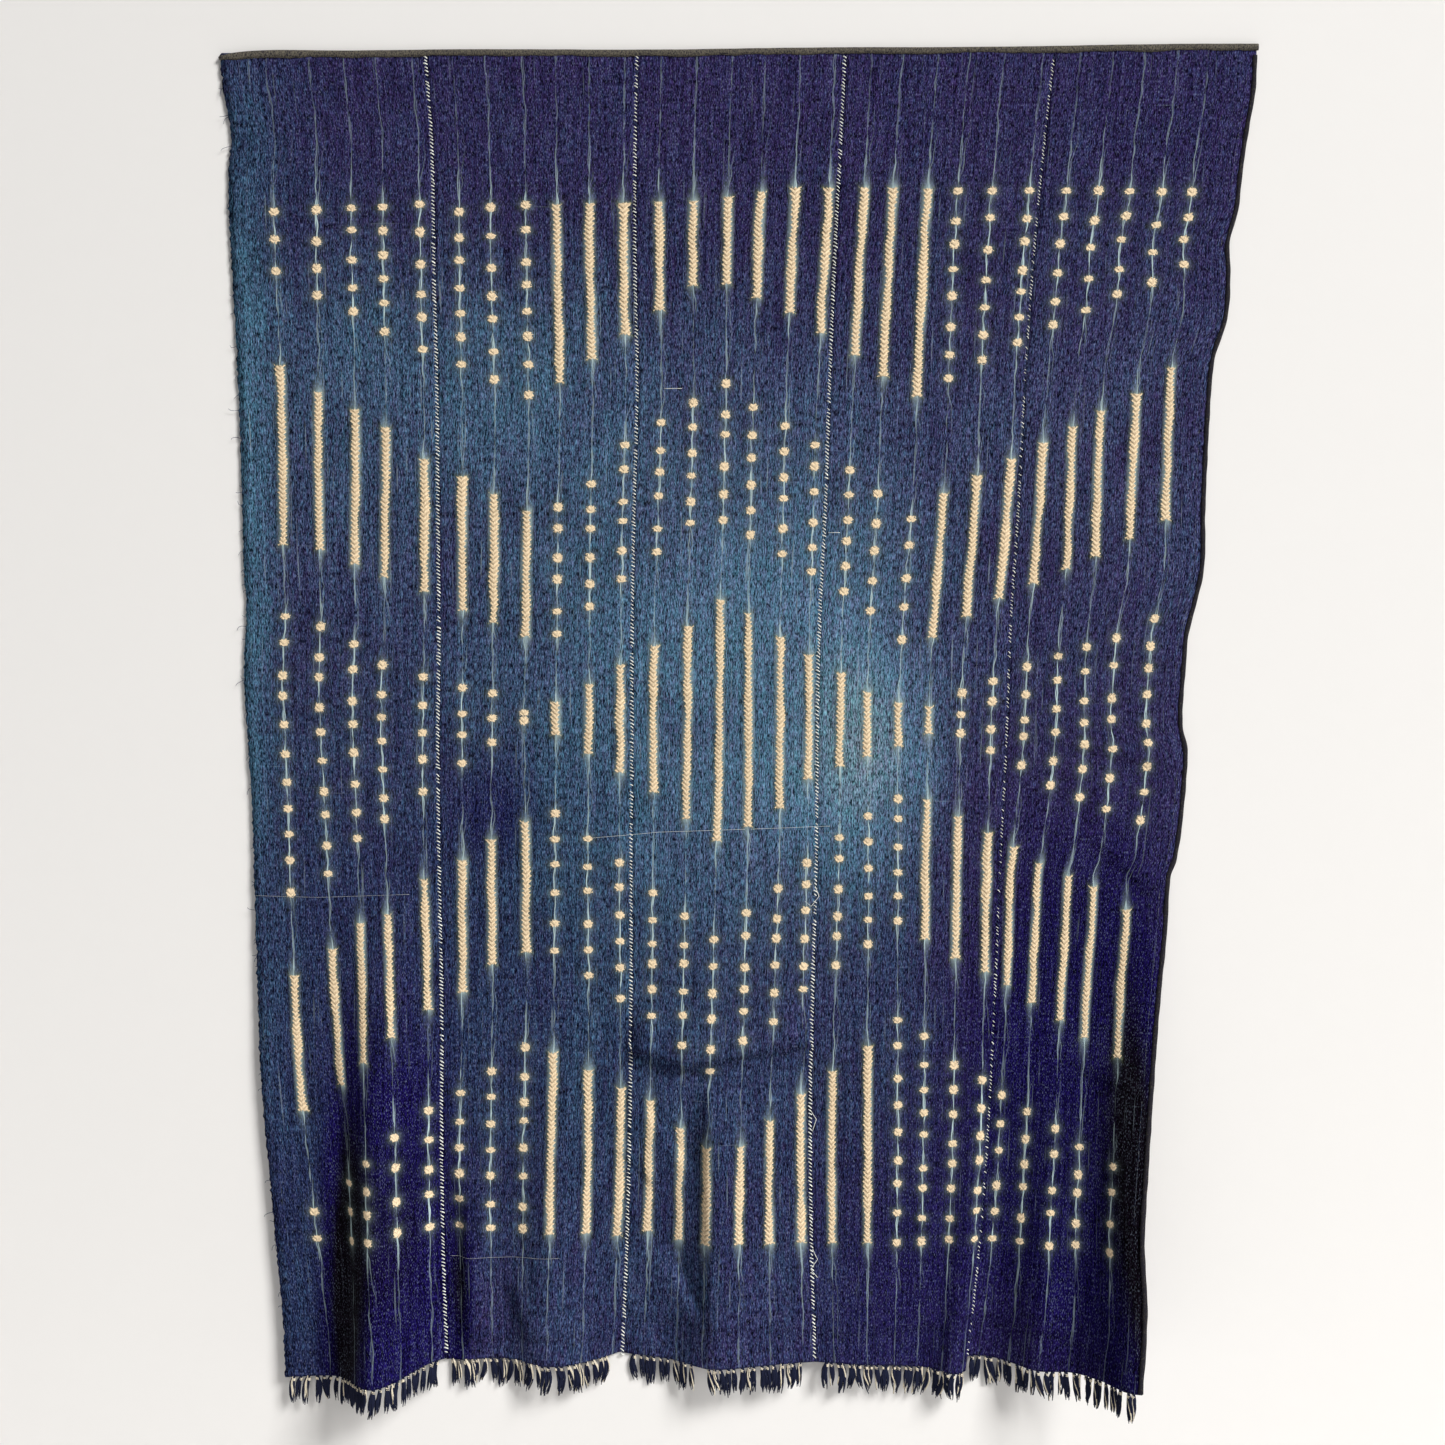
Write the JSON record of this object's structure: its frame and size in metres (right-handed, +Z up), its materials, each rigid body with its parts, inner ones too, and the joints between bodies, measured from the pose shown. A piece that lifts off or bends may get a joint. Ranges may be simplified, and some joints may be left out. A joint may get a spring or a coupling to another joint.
{
  "type": "hung indigo strip-woven cloth",
  "caption": "Indigo cotton cloth of hand-woven strips sewn edge to edge, hung by its rolled top edge, with resist-dyed bars and dots and a knotted fringe at the hem.",
  "frame": {"origin": "The middle of the cloth's top edge, at its back, where it meets the wall: the mount hanging_edge.", "axes": "+Z up along the cloth, +X to the viewer's right along the top edge, +Y into the wall; the face with the folds looks along -Y."},
  "size_m": [1.0345, 0.1019, 1.3537],
  "materials": {
    "indigo_cotton": "matt hand-woven cotton, indigo dyed, with undyed resist marks",
    "fringe_cotton": "matt knotted cotton warp ends, cream and dark indigo mixed"
  },
  "bodies": {
    "root": {"strip_1": "indigo_cotton", "strip_2": "indigo_cotton", "strip_3": "indigo_cotton", "strip_4": "indigo_cotton", "strip_5": "indigo_cotton", "fringe_1": "fringe_cotton", "fringe_2": "fringe_cotton", "fringe_3": "fringe_cotton", "fringe_4": "fringe_cotton", "fringe_5": "fringe_cotton"}
  },
  "joints": []
}
